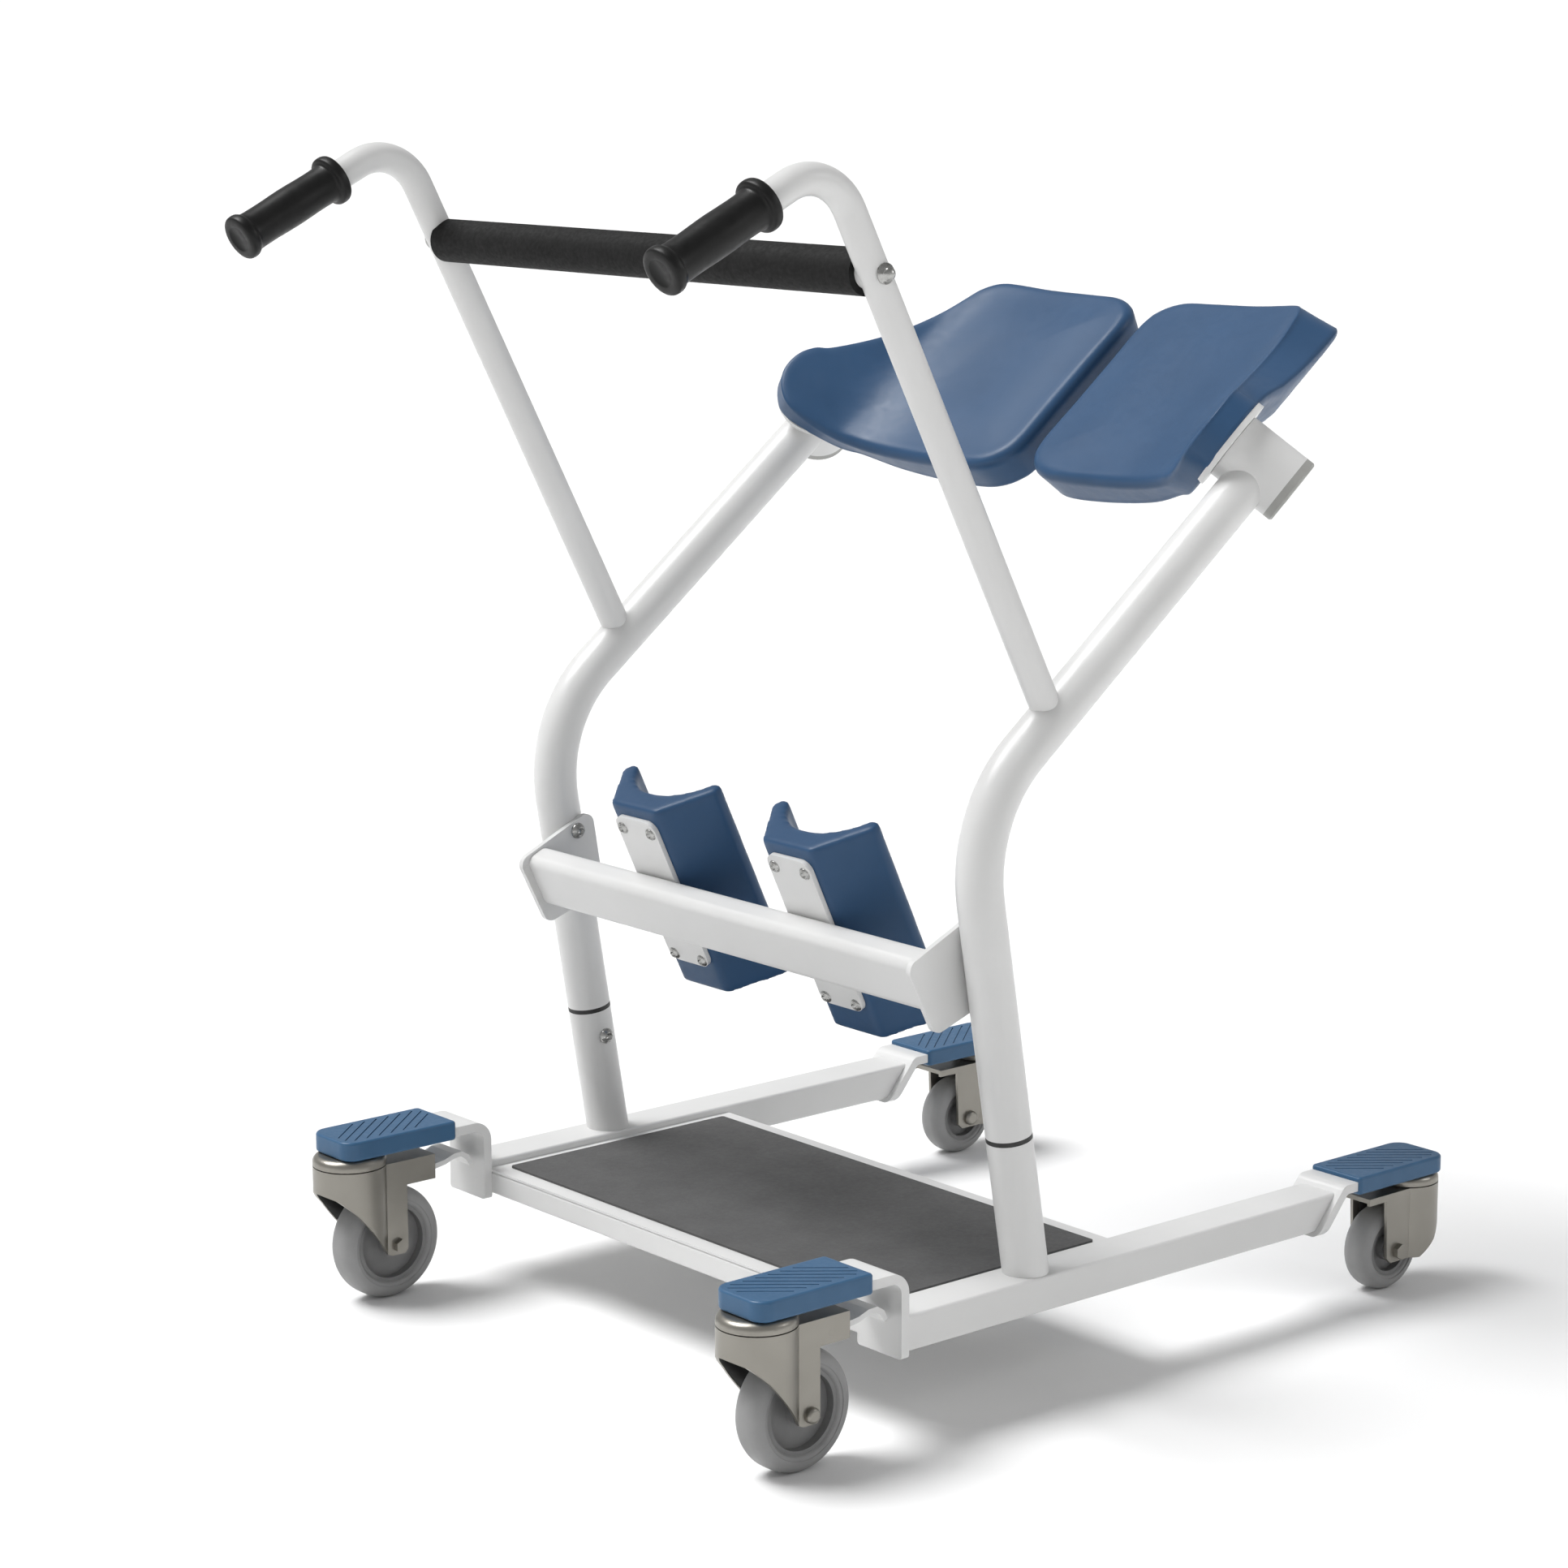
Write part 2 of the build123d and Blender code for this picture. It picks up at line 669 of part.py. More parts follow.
def seat_pad():
    angle = math.radians(seat_angle)
    over = Vector(0, -math.sin(angle), math.cos(angle))
    plane = Plane(origin=(0, *seat_origin), x_dir=(1, 0, 0), z_dir=over)
    slope = math.radians(hinge_roll)
    reach = housing_half_length + 5.3
    foot_x = side_x - reach * math.sin(slope)
    foot_z = seat_height_of_hinge() + reach * math.cos(slope)
    rise = pad_lobe_radius * math.sin(slope)
    run = pad_lobe_radius * math.cos(slope)
    disc_out = (foot_x + run, foot_z + rise)
    disc_in = (foot_x - run, foot_z - rise)
    near_under = [disc_in, (200, -12), (160, -25), (112, -32), (62, -34), (10, -35)]
    far_under = [(256, 22), (240, 3), (227, -13), (201, -23), (170, -28), (120, -33), (10, -35)]
    near = seat_slab(plane, -34, 58, [(270.2, 71.7), disc_out], near_under)
    far = seat_slab(plane, 58, 206, [(262, 64.5)], far_under)
    outline = Wire(
        [
            Line((10, -4), (10, 166)).edge(),
            ThreePointArc((10, 166), (18, 190), (42, 200)).edge(),
            Spline((42, 200), (120, 201), (170, 203), (201, 204)).edge(),
            ThreePointArc((201, 204), (214, 200), (221, 190)).edge(),
            Spline((221, 190), (233, 146), (248, 96), (268, 44)).edge(),
            ThreePointArc((268, 44), (292, 8), (262, -32)).edge(),
            Line((262, -32), (42, -27)).edge(),
            ThreePointArc((42, -27), (20, -20), (10, -4)).edge(),
        ]
    )
    cutter = extrude(plane.offset(-80) * make_face(outline), amount=200)
    crease = seat_point(plane, 197, 178, 15)
    crease_near = seat_point(plane, 217, 118, 26)
    foot = seat_point(plane, 228, 170, -13)
    normal = (crease_near - crease).cross(foot - crease).normalized()
    if normal.X < 0:
        normal = normal * -1
    wall_plane = Plane(origin=crease, x_dir=(crease_near - crease).normalized(), z_dir=normal)
    wedge = wall_plane * Pos(0, 0, 100) * Box(400, 400, 200)
    far_only = plane * Pos(0, 84 + 200, 0) * Box(800, 400, 400)
    return ((near + far) & cutter) - (wedge & far_only)


def seat_height_of_hinge():
    angle = math.radians(seat_angle)
    dy = hinge_yz[0] - seat_origin[0]
    dz = hinge_yz[1] - seat_origin[1]
    return -dy * math.sin(angle) + dz * math.cos(angle)


os.makedirs("parts", exist_ok=True)

rail = side_rail()
save("side_rail_right", rail)
save("side_rail_left", mirrored(rail))
save("cross_tubes", cross_tube(rail_front_y), cross_tube(cross_back_y))
save("footplate_tray", footplate_tray())
save("footplate_mat", footplate_mat())

bracket = front_bracket()
save("front_brackets", bracket, mirrored(bracket))
bracket = back_bracket()
save("back_brackets", bracket, mirrored(bracket))
cover = caster_cover(
    front_cover_front,
    front_cover_back,
    front_cover_bottom,
    front_cover_top,
    front_cover_half_width,
    -1,
    front_plate_top - plate_thickness,
    front_plate_top,
    head_y_front,
)
save("front_cover_right", cover)
save("front_cover_left", mirrored(cover))
cover = caster_cover(
    back_cover_front,
    back_cover_back,
    back_cover_bottom,
    back_cover_top,
    back_cover_half_width,
    1,
    back_cover_top - 4 - plate_thickness,
    back_cover_top - 4,
    head_y_back,
)
save("back_cover_right", cover)
save("back_cover_left", mirrored(cover))

front_top = 125.0
front_axle_y = 35.0
front_axle_z = 50.0
front_seat = front_plate_top - plate_thickness
front_head = caster_head(head_y_front, front_top + seam_gap, 32, front_seat, 135.0, 117.5)
save("front_caster_heads", front_head, mirrored(front_head))
front_profile = [
    (-33, 125),
    (-33, 104),
    (-25, 100),
    (-11, 86),
    (5, 66),
    (22.5, 44),
    (27, 42),
    (41, 42),
    (44, 46),
    (44, 103),
    (74, 103),
    (74, 125),
]
front_fork = fork(front_top, 32, 22.5, 74, front_profile, 3, front_axle_y, front_axle_z, 4)
front_fork = front_fork - Pos(0, 56, 111.2) * Rot(0, 90, 0) * Cylinder(3.05, 80)
place = Pos(side_x, head_y_front, 0)
front_bolt = axle_bolt(22.5, front_axle_y, front_axle_z, 6.5)
front_tyre = Pos(0, front_axle_y, front_axle_z) * tyre(50, 35, 30)
front_hub = Pos(0, front_axle_y, front_axle_z) * hub(35, 30)
pedal = brake_pedal()
pin = Pos(0, 56, 111.2) * Rot(0, 90, 0) * Cylinder(3, 45)
for side, name in ((1, "right"), (-1, "left")):
    spot = Pos(side * side_x, head_y_front, 0)
    turn = kept if side > 0 else mirrored
    save("front_fork_" + name, turn(place * front_fork))
    save("front_axle_" + name, turn(place * front_bolt), turn(place * pin))
    save("front_tyre_" + name, turn(place * front_tyre))
    save("front_hub_" + name, turn(place * front_hub))
    save("brake_pedal_" + name, turn(place * pedal))

back_top = 91.6
back_axle_y = 32.0
back_axle_z = 37.5
back_head = caster_head(head_y_back, back_top + seam_gap, 28, back_cover_top - 4 - plate_thickness, 101.0, 84.5)
save("back_caster_heads", back_head, mirrored(back_head))
back_profile = [
    (-29, 91.6),
    (-29, 76),
    (-23, 62),
    (-8, 42),
    (10, 28.5),
    (42, 28.5),
    (47, 33),
    (49, 85.5),
    (71, 85.5),
    (71, 91.6),
]
back_fork = fork(back_top, 28, 21, 71, back_profile, 3, back_axle_y, back_axle_z, 4)
back_bolt = axle_bolt(21, back_axle_y, back_axle_z, 7.0)
back_tyre = Pos(0, back_axle_y, back_axle_z) * tyre(37.5, 24, 28)
back_hub = Pos(0, back_axle_y, back_axle_z) * hub(24, 28)
place = Pos(side_x, head_y_back, 0) * Rot(0, 0, 180)
for side, name in ((1, "right"), (-1, "left")):
    turn = kept if side > 0 else mirrored
    save("back_fork_" + name, turn(place * back_fork))
    save("back_axle_" + name, turn(place * back_bolt))
    save("back_tyre_" + name, turn(place * back_tyre))
    save("back_hub_" + name, turn(place * back_hub))

socket = leg_socket()
save("leg_sockets", socket, mirrored(socket))
ring = leg_ring()
save("leg_rings", ring, mirrored(ring))
bolt = leg_bolt()
save("leg_bolts", bolt, mirrored(bolt))
leg = leg_tube()
save("leg_tube_right", leg)
save("leg_tube_left", mirrored(leg))
handle = handle_tube()
save("handle_tube_right", handle)
save("handle_tube_left", mirrored(handle))
rubber = grip()
save("grip_right", rubber)
save("grip_left", mirrored(rubber))
save("crossbar_tube", crossbar_tube())
save("crossbar_sleeve", crossbar_sleeve())
bolt = crossbar_bolt()
save("crossbar_bolts", bolt, mirrored(bolt))

save("knee_bar", knee_bar())
plate = knee_end_plate()
save("knee_bar_plates", plate, mirrored(plate))
bolt = knee_bolt()
save("knee_bar_bolts", bolt, mirrored(bolt))
save("knee_pad_straps", knee_strap(strap_x), knee_strap(-strap_x))
save("knee_pad_screws", *knee_screws(strap_x), *knee_screws(-strap_x))
save("knee_pad_right", knee_pad(strap_x))
save("knee_pad_left", knee_pad(-strap_x))

housing = seat_housing()
save("seat_housing_right", housing)
save("seat_housing_left", mirrored(housing))
cap = seat_cap()
save("seat_housing_caps", cap, mirrored(cap))
carrier = seat_carrier()
save("seat_carrier_right", carrier)
save("seat_carrier_left", mirrored(carrier))
pad = seat_pad()
save("seat_pad_right", pad)
save("seat_pad_left", mirrored(pad))
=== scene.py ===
import json
import math

import bmesh
import bpy
import numpy as np
from mathutils import Matrix, Quaternion, Vector


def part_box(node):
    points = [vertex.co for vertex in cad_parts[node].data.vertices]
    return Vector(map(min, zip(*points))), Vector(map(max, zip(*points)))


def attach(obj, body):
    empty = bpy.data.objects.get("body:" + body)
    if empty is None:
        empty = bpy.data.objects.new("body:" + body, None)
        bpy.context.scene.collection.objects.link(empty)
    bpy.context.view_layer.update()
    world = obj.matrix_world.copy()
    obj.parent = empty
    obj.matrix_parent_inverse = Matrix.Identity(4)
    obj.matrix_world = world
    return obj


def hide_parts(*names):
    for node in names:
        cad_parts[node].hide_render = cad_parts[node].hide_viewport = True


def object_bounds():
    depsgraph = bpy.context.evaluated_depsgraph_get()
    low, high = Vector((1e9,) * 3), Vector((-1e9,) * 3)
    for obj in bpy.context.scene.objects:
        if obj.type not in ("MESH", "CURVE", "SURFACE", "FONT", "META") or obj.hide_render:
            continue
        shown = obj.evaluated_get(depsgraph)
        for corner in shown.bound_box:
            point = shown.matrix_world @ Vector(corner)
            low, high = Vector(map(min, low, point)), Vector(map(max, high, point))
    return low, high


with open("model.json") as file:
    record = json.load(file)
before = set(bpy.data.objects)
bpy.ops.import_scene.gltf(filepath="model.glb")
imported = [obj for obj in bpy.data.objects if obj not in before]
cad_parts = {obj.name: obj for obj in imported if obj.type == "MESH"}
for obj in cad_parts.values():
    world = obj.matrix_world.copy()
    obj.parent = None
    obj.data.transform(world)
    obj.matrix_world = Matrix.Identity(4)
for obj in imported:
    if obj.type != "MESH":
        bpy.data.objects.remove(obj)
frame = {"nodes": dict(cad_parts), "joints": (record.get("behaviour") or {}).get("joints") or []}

cad_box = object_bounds()
nodes = frame["nodes"]
scene = bpy.context.scene
joints = {joint["name"]: joint for joint in frame["joints"]}
SIDES = {"right": 1, "left": -1}


# Materials --------------------------------------------------------------------
class Shader:
    """A Principled material with the nodes that vary its colour, roughness and surface."""

    def __init__(self, name, rough, metallic=0.0):
        self.material = bpy.data.materials.new("look_" + name)
        self.material.use_nodes = True
        self.nodes = self.material.node_tree.nodes
        self.links = self.material.node_tree.links
        self.surface = self.nodes["Principled BSDF"]
        self.surface.inputs["Roughness"].default_value = rough
        self.surface.inputs["Metallic"].default_value = metallic
        self.place = self.nodes.new("ShaderNodeTexCoord").outputs["Object"]
        self.height = None

    def set(self, **values):
        for key, value in values.items():
            self.surface.inputs[key.replace("_", " ")].default_value = value
        return self

    def stretched(self, scale):
        mapping = self.nodes.new("ShaderNodeMapping")
        mapping.inputs["Scale"].default_value = scale
        self.links.new(self.place, mapping.inputs["Vector"])
        return mapping.outputs["Vector"]

    def noise(self, scale, detail=2.0, where=None, roughness=0.5):
        node = self.nodes.new("ShaderNodeTexNoise")
        node.inputs["Scale"].default_value = scale
        node.inputs["Detail"].default_value = detail
        node.inputs["Roughness"].default_value = roughness
        self.links.new(where or self.place, node.inputs["Vector"])
        return node.outputs["Fac"]

    def cells(self, scale, feature="F1"):
        node = self.nodes.new("ShaderNodeTexVoronoi")
        node.feature = feature
        node.inputs["Scale"].default_value = scale
        self.links.new(self.place, node.inputs["Vector"])
        return node.outputs["Distance"]

    def colour(self, low, high, value):
        ramp = self.nodes.new("ShaderNodeValToRGB")
        ramp.color_ramp.elements[0].position = 0.3
        ramp.color_ramp.elements[1].position = 0.7
        ramp.color_ramp.elements[0].color = (*low, 1)
        ramp.color_ramp.elements[1].color = (*high, 1)
        self.links.new(value, ramp.inputs["Fac"])
        self.links.new(ramp.outputs["Color"], self.surface.inputs["Base Color"])
        return self

    def roughness(self, low, high, value):
        spread = self.nodes.new("ShaderNodeMapRange")
        spread.inputs["From Min"].default_value = 0.3
        spread.inputs["From Max"].default_value = 0.7
        spread.inputs["To Min"].default_value = low
        spread.inputs["To Max"].default_value = high
        self.links.new(value, spread.inputs["Value"])
        self.links.new(spread.outputs["Result"], self.surface.inputs["Roughness"])
        return self

    def bump(self, value, strength, distance):
        node = self.nodes.new("ShaderNodeBump")
        node.inputs["Strength"].default_value = strength
        node.inputs["Distance"].default_value = distance
        self.links.new(value, node.inputs["Height"])
        if self.height is not None:
            self.links.new(self.height, node.inputs["Normal"])
        self.height = node.outputs["Normal"]
        self.links.new(self.height, self.surface.inputs["Normal"])
        return self


def powder_coat():
    s = Shader("powder_coat", 0.34)
    s.colour((0.655, 0.655, 0.65), (0.69, 0.69, 0.685), s.noise(9, 3))
    s.roughness(0.30, 0.40, s.noise(60, 2))
    s.bump(s.noise(650, 2), 0.08, 0.0003)
    return s.set(Coat_Weight=0.12, Coat_Roughness=0.25).material


def nickel():
    s = Shader("pressed_nickel", 0.34, 0.85)
    s.colour((0.275, 0.262, 0.234), (0.305, 0.291, 0.260), s.noise(30, 3))
    s.roughness(0.31, 0.38, s.noise(120, 3))
    s.bump(s.noise(1, 2, s.stretched((1400, 1400, 220))), 0.03, 0.0002)
    return s.material


def zinc():
    s = Shader("zinc", 0.26, 1.0)
    s.colour((0.36, 0.36, 0.35), (0.46, 0.46, 0.45), s.noise(260, 3))
    s.roughness(0.2, 0.38, s.noise(380, 2))
    s.bump(s.noise(1600, 2), 0.06, 0.0002)
    return s.material


def rubber(name, low, high, rough, grain, strength, shine=0.35):
    s = Shader(name, rough)
    s.set(Specular_IOR_Level=shine)
    s.colour(low, high, s.noise(55, 4))
    s.roughness(rough - 0.06, rough + 0.06, s.noise(180, 3))
    s.bump(s.noise(grain, 3), strength, 0.0004)
    return s.material


def footplate_mat():
    s = Shader("mat", 0.72)
    s.colour((0.070, 0.070, 0.070), (0.086, 0.086, 0.086), s.noise(30, 5))
    s.roughness(0.64, 0.8, s.noise(240, 3))
    s.bump(s.cells(420), 0.22, 0.0006)
    s.bump(s.noise(1500, 2), 0.12, 0.0003)
    return s.material


def moulded_skin():
    """Self-skinned foam: a fine leather grain over a satin skin."""
    s = Shader("moulded_skin", 0.42)
    s.set(Specular_IOR_Level=0.24)
    s.colour((0.026, 0.070, 0.150), (0.030, 0.079, 0.168), s.noise(14, 4))
    s.roughness(0.36, 0.44, s.noise(110, 3))
    s.bump(s.cells(950), 0.10, 0.0003)
    s.bump(s.noise(2200, 3), 0.08, 0.0002)
    return s.set(Coat_Weight=0.06, Coat_Roughness=0.3).material


def cover_plastic():
    s = Shader("cover_plastic", 0.4)
    s.set(Specular_IOR_Level=0.4)
    s.colour((0.031, 0.098, 0.196), (0.037, 0.110, 0.216), s.noise(40, 4))
    s.roughness(0.32, 0.42, s.noise(210, 3))
    s.bump(s.noise(1900, 3), 0.10, 0.0003)
    return s.material


def plastic(name, low, high, rough):
    s = Shader(name, rough)
    s.colour(low, high, s.noise(70, 4))
    s.roughness(rough - 0.05, rough + 0.07, s.noise(240, 3))
    s.bump(s.noise(1500, 3), 0.10, 0.0003)
    return s.material


def foam_sleeve():
    s = Shader("foam_sleeve", 0.7)
    s.set(Specular_IOR_Level=0.2)
    s.colour((0.006, 0.006, 0.006), (0.010, 0.010, 0.010), s.noise(90, 4))
    s.roughness(0.6, 0.78, s.noise(300, 3))
    s.bump(s.cells(1500), 0.25, 0.0004)
    return s.material


looks = {
    "frame_white": powder_coat(),
    "fork_nickel": nickel(),
    "bolt_zinc": zinc(),
    "tyre_grey": rubber("tyre", (0.27, 0.27, 0.27), (0.30, 0.30, 0.30), 0.55, 1100, 0.12),
    "hub_grey": plastic("hub", (0.185, 0.185, 0.185), (0.21, 0.21, 0.21), 0.5),
    "mat_rubber": footplate_mat(),
    "cover_blue": cover_plastic(),
    "pad_blue": moulded_skin(),
    "ring_black": plastic("ring", (0.012, 0.012, 0.012), (0.018, 0.018, 0.018), 0.5),
    "grip_black": rubber("grip", (0.005, 0.005, 0.005), (0.008, 0.008, 0.008), 0.40, 900, 0.12, 0.25),
    "sleeve_black": foam_sleeve(),
    "cap_grey": plastic("cap", (0.30, 0.30, 0.285), (0.34, 0.34, 0.325), 0.4),
}
for node in nodes.values():
    for place in node.material_slots:
        place.material = looks[place.material.name.split(".")[0]]


# Shared helpers ---------------------------------------------------------------
def new_piece(name, mesh, slot, body):
    piece = bpy.data.objects.new(name, mesh)
    scene.collection.objects.link(piece)
    mesh.materials.clear()
    mesh.materials.append(looks[slot])
    for polygon in mesh.polygons:
        polygon.use_smooth = True
    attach(piece, body)
    return piece


def finished(work, name):
    """The mesh of a bmesh, with its faces turned outwards."""
    bmesh.ops.recalc_face_normals(work, faces=work.faces)
    mesh = bpy.data.meshes.new(name)
    work.to_mesh(mesh)
    work.free()
    return mesh


def middle_of(node):
    """The middle and the size of a node."""
    low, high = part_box(node)
    return (low + high) / 2, high - low


def line_through(points, steps, closed=False):
    """A Catmull-Rom curve through points, as a list of vectors."""
    points = [Vector(p) for p in points]
    count = len(points)
    line = []
    for i in range(count if closed else count - 1):
        if closed:
            a, b, c, d = (points[(i + k) % count] for k in (-1, 0, 1, 2))
        else:
            a, b, c, d = (points[min(max(i + k, 0), count - 1)] for k in (-1, 0, 1, 2))
        for step in range(steps):
            t = step / steps
            line.append(0.5 * (2 * b + (c - a) * t + (2 * a - 5 * b + 4 * c - d) * t * t
                               + (3 * b - a - 3 * c + d) * t ** 3))
    if not closed:
        line.append(points[-1])
    return line


# Knee pads --------------------------------------------------------------------
KNEE_VOXEL = 0.0025
KNEE_ROUNDS = 22


def rounded_copy(node, voxel, rounds):
    """The pad's own form with every edge rolled over, as a mould leaves it."""
    mesh = nodes[node].data.copy()
    work = bmesh.new()
    work.from_mesh(mesh)
    bmesh.ops.remove_doubles(work, verts=work.verts, dist=1e-5)
    work.to_mesh(mesh)
    work.free()
    rough = bpy.data.objects.new("rough", mesh)
    scene.collection.objects.link(rough)
    remesh = rough.modifiers.new("remesh", "REMESH")
    remesh.mode = "VOXEL"
    remesh.voxel_size = voxel
    remesh.use_smooth_shade = True
    smooth = rough.modifiers.new("smooth", "SMOOTH")
    smooth.factor = 0.5
    smooth.iterations = rounds
    graph = bpy.context.evaluated_depsgraph_get()
    made = bpy.data.meshes.new_from_object(rough.evaluated_get(graph))
    bpy.data.objects.remove(rough)
    return made


# Seat cushions ----------------------------------------------------------------
# They are drawn in millimetres: across from the middle plane, along the seat from its front, and up
# from its face. The face and the underside have matching outlines, joined by the side wall.
SEAT_ANGLE = math.radians(38.0)
HINGE_ROLL = math.radians(40.0)
HINGE_AT = (275.0, 8.08, 3.84)

FACE_ROUND = 9.0
FACE_CROWN = 3.0
CROWN_START = 4
CROWN_RISE = 60
UNDER_ROUND = 4.5
UNDER_DROP = 3.5
WALL_STEPS = 7
OUTLINE_STEPS = 6

# Where the wall leans out this far, the rim rolls over less by the share.
LEAN = 16
LEAN_SHARE = 0.65

# Along the seat, the underside leaves its near curve at the first distance and fades to its far
# curve over the second.
NEAR_END = 45
FAR_FADE = 45

# The round lobe over the hinge, and where it is centred across on the face and on the underside.
LOBE_RADIUS = 40.0
LOBE_TURNS = (62, 40, 15, -15, -45, -75)
FACE_LOBE = 239.6
UNDER_LOBE = 254.2

# Height across the seat, of the face and of the underside near the hinge and far from it.
FACE_CURVE = [
    (0, 0), (60, 0.5), (110, 2), (150, 4.5), (180, 9.5),
    (198, 15.5), (212, 23), (239.6, 46), (270.2, 71.7), (300, 96.9),
]
UNDER_NEAR = [(0, -35), (62, -34), (112, -32), (160, -25), (200, -9), (223.6, 2.9), (284.8, 54.3), (300, 67)]
UNDER_FAR = [
    (0, -35), (70, -34), (120, -32), (170, -28), (201, -22),
    (221, -12), (240, 5), (256, 23), (284, 54), (300, 67),
]


def lobe(centre):
    """The lobe is a circle about the hinge, which is rolled, so it is narrower across."""
    reach = LOBE_RADIUS * math.cos(HINGE_ROLL)
    points = []
    for turn in LOBE_TURNS:
        angle = math.radians(turn)
        points.append((centre + reach * math.cos(angle), HINGE_AT[1] + LOBE_RADIUS * math.sin(angle)))
    return points


FACE_OUTLINE = [
    (10, 12), (10, 60), (10, 115), (10, 165), (17, 185), (38, 198), (72, 200), (120, 200), (160, 200),
    (182, 195), (195, 181), (203, 160), (210, 138), (218, 115), (227, 92), (239, 68),
    *lobe(FACE_LOBE),
    (224, -31), (192, -28), (150, -27), (110, -27), (62, -26), (36, -22), (18, -9),
]
UNDER_OUTLINE = [
    (14, 14), (14, 60), (14, 115), (14, 164), (21, 182), (40, 193), (72, 197), (120, 199), (168, 202),
    (198, 202), (217, 190), (226, 168), (234, 144), (242, 120), (250, 96), (259, 70),
    *lobe(UNDER_LOBE),
    (230, -28), (200, -22), (160, -19), (112, -19), (62, -19), (38, -15), (22, -4),
]

# Both surfaces are rings: their outline drawn in towards the middle by these shares.
MIDDLE = np.array((150.0, 62.0))
SPREAD = (
    1, 0.998, 0.993, 0.984, 0.971, 0.953, 0.93, 0.90, 0.86,
    0.80, 0.72, 0.62, 0.5, 0.38, 0.26, 0.15, 0.06,
)


def eased(value):
    """From 0 to 1 with a soft start and end."""
    value = np.clip(value, 0.0, 1.0)
    return value * value * (3 - 2 * value)


def height_on(curve, across):
    line = line_through(curve, 10)
    return np.interp(across, [p[0] for p in line], [p[1] for p in line])


def under_height(plan):
    far = eased((plan[:, 1] - NEAR_END) / FAR_FADE)
    return height_on(UNDER_NEAR, plan[:, 0]) * (1 - far) + height_on(UNDER_FAR, plan[:, 0]) * far


def inward(plan, outline):
    """How far each place is from the outline."""
    return np.sqrt(((plan[:, None, :] - outline[None, :, :]) ** 2).sum(2)).min(1)


def rolled(distance, radius):
    """How far a rounded edge has dropped at a distance in from it."""
    left = np.clip(radius - distance, 0, radius)
    return radius - np.sqrt(radius * radius - left * left)


def cushion_rings():
    """Closed rings of (across, along, up), from the middle of the underside to the middle of the face."""
    face = np.array([tuple(p) for p in line_through(FACE_OUTLINE, OUTLINE_STEPS, True)])
    under = np.array([tuple(p) for p in line_through(UNDER_OUTLINE, OUTLINE_STEPS, True)])
    outwards = (face - MIDDLE) / np.linalg.norm(face - MIDDLE, axis=1)[:, None]
    overhang = ((under - face) * outwards).sum(1)
    rim = 1 - LEAN_SHARE * eased(overhang / LEAN)
    below = []
    for share in reversed(SPREAD):
        plan = MIDDLE + (under - MIDDLE) * share
        up = under_height(plan) + rolled(inward(plan, under), UNDER_ROUND) - UNDER_DROP
        below.append(np.column_stack((plan, up)))
    above = []
    for share in SPREAD:
        plan = MIDDLE + (face - MIDDLE) * share
        away = inward(plan, face)
        crown = FACE_CROWN * eased((away - CROWN_START) / CROWN_RISE)
        drop = rim * rolled(away, FACE_ROUND)
        above.append(np.column_stack((plan, height_on(FACE_CURVE, plan[:, 0]) - drop + crown)))
    low, high = below[-1], above[0]
    wall = [low + (high - low) * (step / WALL_STEPS) for step in range(1, WALL_STEPS)]
    return below + wall + above


def cushion_mesh(name, sign, hinge, cushion):
    """The cushion of one side, placed so that its hinge is at the joint."""
    along = Vector((0, math.cos(SEAT_ANGLE), math.sin(SEAT_ANGLE)))
    up = Vector((0, -math.sin(SEAT_ANGLE), math.cos(SEAT_ANGLE)))
    origin = hinge - (along * HINGE_AT[1] + up * HINGE_AT[2]) / 1000
    work = bmesh.new()
    rings = []
    for ring in cushion:
        rings.append([
            work.verts.new(Vector((sign * x / 1000, origin.y, origin.z)) + (along * s + up * u) / 1000)
            for x, s, u in ring.tolist()
        ])
    count = len(rings[0])
    for a, b in zip(rings, rings[1:]):
        for i in range(count):
            k = (i + 1) % count
            work.faces.new((a[i], a[k], b[k], b[i]))
    for ring in (rings[0], rings[-1]):
        centre = work.verts.new(sum((v.co for v in ring), Vector()) / count)
        for i in range(count):
            work.faces.new((ring[i], ring[(i + 1) % count], centre))
    return finished(work, name)


cushion = cushion_rings()
for side, sign in SIDES.items():
    name = "seat_cushion_" + side
    hinge = Vector(joints["seat_swing_" + side]["pos_m"])
    pad = new_piece(name, cushion_mesh(name, sign, hinge, cushion), "pad_blue", "seat_half_" + side)
    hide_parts("seat_pad_" + side)
    shape = rounded_copy("knee_pad_" + side, KNEE_VOXEL, KNEE_ROUNDS)
    pad = new_piece("knee_cushion_" + side, shape, "pad_blue", "frame")
    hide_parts("knee_pad_" + side)


